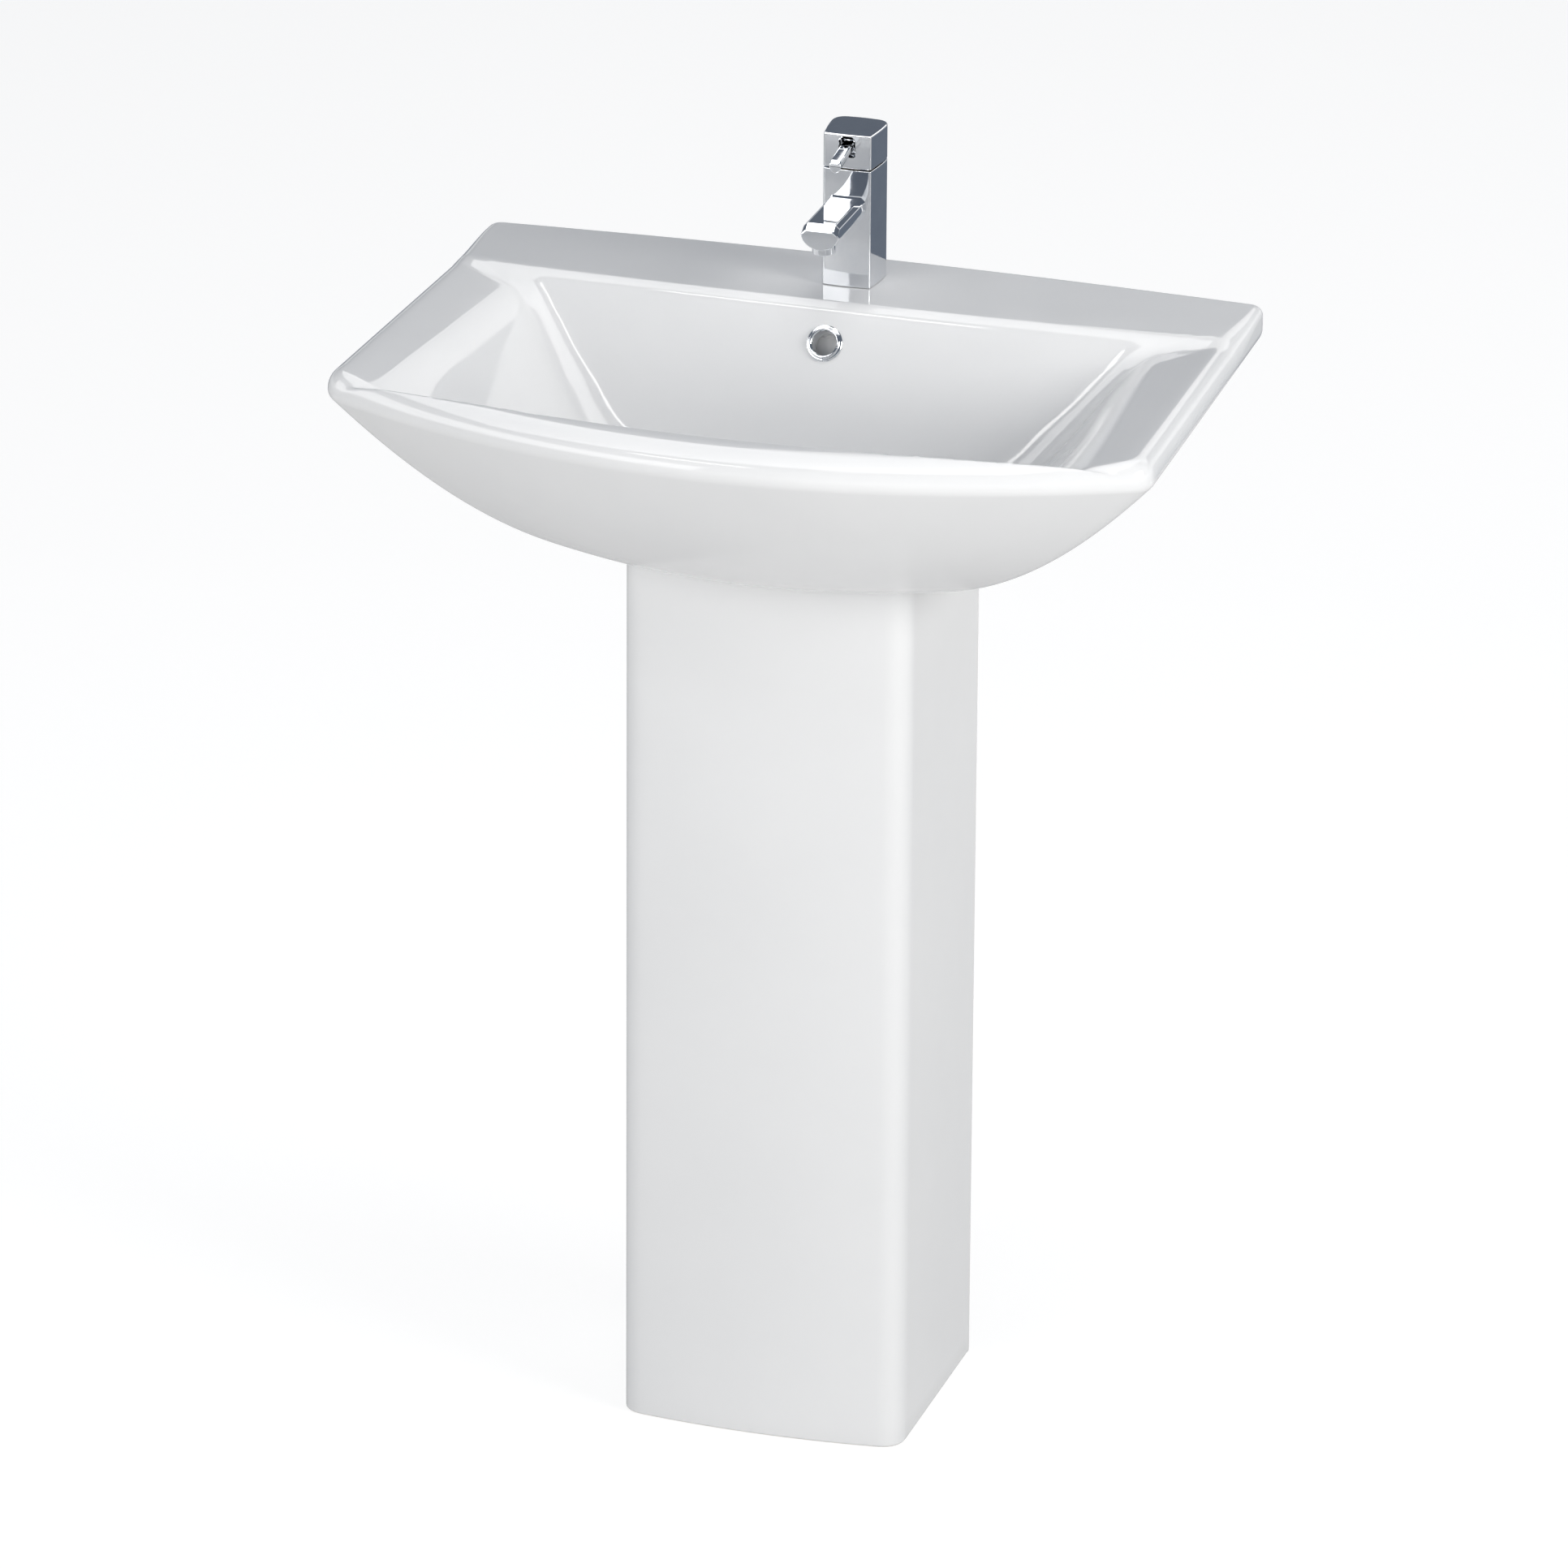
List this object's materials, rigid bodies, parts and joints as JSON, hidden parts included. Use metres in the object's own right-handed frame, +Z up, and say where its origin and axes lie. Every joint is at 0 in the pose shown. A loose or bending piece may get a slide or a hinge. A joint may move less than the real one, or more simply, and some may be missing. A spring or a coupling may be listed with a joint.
{
  "type": "pedestal sink",
  "caption": "Glazed ceramic hand basin with a bowed front on a slim full-height pedestal, with a square-sided single-lever mixer tap, overflow, push plug, waste and bottle trap.",
  "frame": {"origin": "on the floor, on the centre line, midway between the front of the basin's bow and the wall", "axes": "+Z up, +Y towards the wall, so the user stands on the -Y side; +X to the user's right"},
  "size_m": [0.5992, 0.425, 0.9262],
  "materials": {
    "ceramic": "white gloss glaze",
    "chrome": "polished plating",
    "brass": "machined",
    "copper": "drawn copper tube",
    "steel": "zinc plated or stainless",
    "rubber": "moulded black rubber",
    "white_plastic": "moulded white plastic",
    "grey_plastic": "moulded grey plastic",
    "disc": "lapped ceramic"
  },
  "bodies": {
    "sink": {"basin": "ceramic", "pedestal": "ceramic", "overflow_ring": "chrome", "tap_body": "chrome", "aerator_housing": "chrome", "waste_body": "chrome", "cartridge_nut": "brass", "stud_nut": "brass", "hot_tail_nut": "brass", "cold_tail_nut": "brass", "waste_nut": "brass", "plug_guide": "brass", "hot_tail": "copper", "cold_tail": "copper", "tap_stud": "steel", "stud_washer": "steel", "plug_spring": "steel", "tap_base_seal": "rubber", "cartridge_seal": "rubber", "stud_seal": "rubber", "waste_top_seal": "rubber", "waste_bottom_seal": "rubber", "trap_inlet_washer": "rubber", "cup_seal": "rubber", "trap_outlet_washer": "rubber", "wall_sleeve_left": "white_plastic", "wall_sleeve_right": "white_plastic", "trap_inlet_nut": "white_plastic", "trap_body": "white_plastic", "dip_tube": "white_plastic", "trap_cup": "white_plastic", "waste_pipe": "white_plastic", "trap_outlet_nut": "white_plastic", "aerator_insert": "grey_plastic", "cartridge_housing": "grey_plastic", "fixed_disc": "disc"},
    "cap": {"tap_cap": "chrome"},
    "lever": {"tap_lever": "chrome", "lever_screw": "steel", "cartridge_stem": "steel"},
    "disc": {"moving_disc": "disc"},
    "plug": {"plug_cap": "chrome", "plug_seal": "rubber", "plug_stem": "brass"}
  },
  "joints": [
    {"name": "handle_turn", "type": "hinge", "parent": "sink", "child": "cap", "pos_m": [0, 0.1615, 0.9012], "axis": [0, 0, 1], "range_deg": [-45, 45]},
    {"name": "lever_lift", "type": "hinge", "parent": "cap", "child": "lever", "pos_m": [0, 0.1615, 0.902], "axis": [-1, 0, 0], "range_deg": [0, 10]},
    {"name": "disc_slide", "type": "slide", "parent": "cap", "child": "disc", "axis": [0, -1, 0], "range_m": [0, 0.006]},
    {"name": "plug_press", "type": "slide", "parent": "sink", "child": "plug", "axis": [0, 0, 1], "range_m": [-0.009, 0], "deforming": ["plug_spring"]}
  ],
  "couplings": [
    {"joint": "disc_slide", "follows": "lever_lift", "m_per_rad": 0.032}
  ]
}
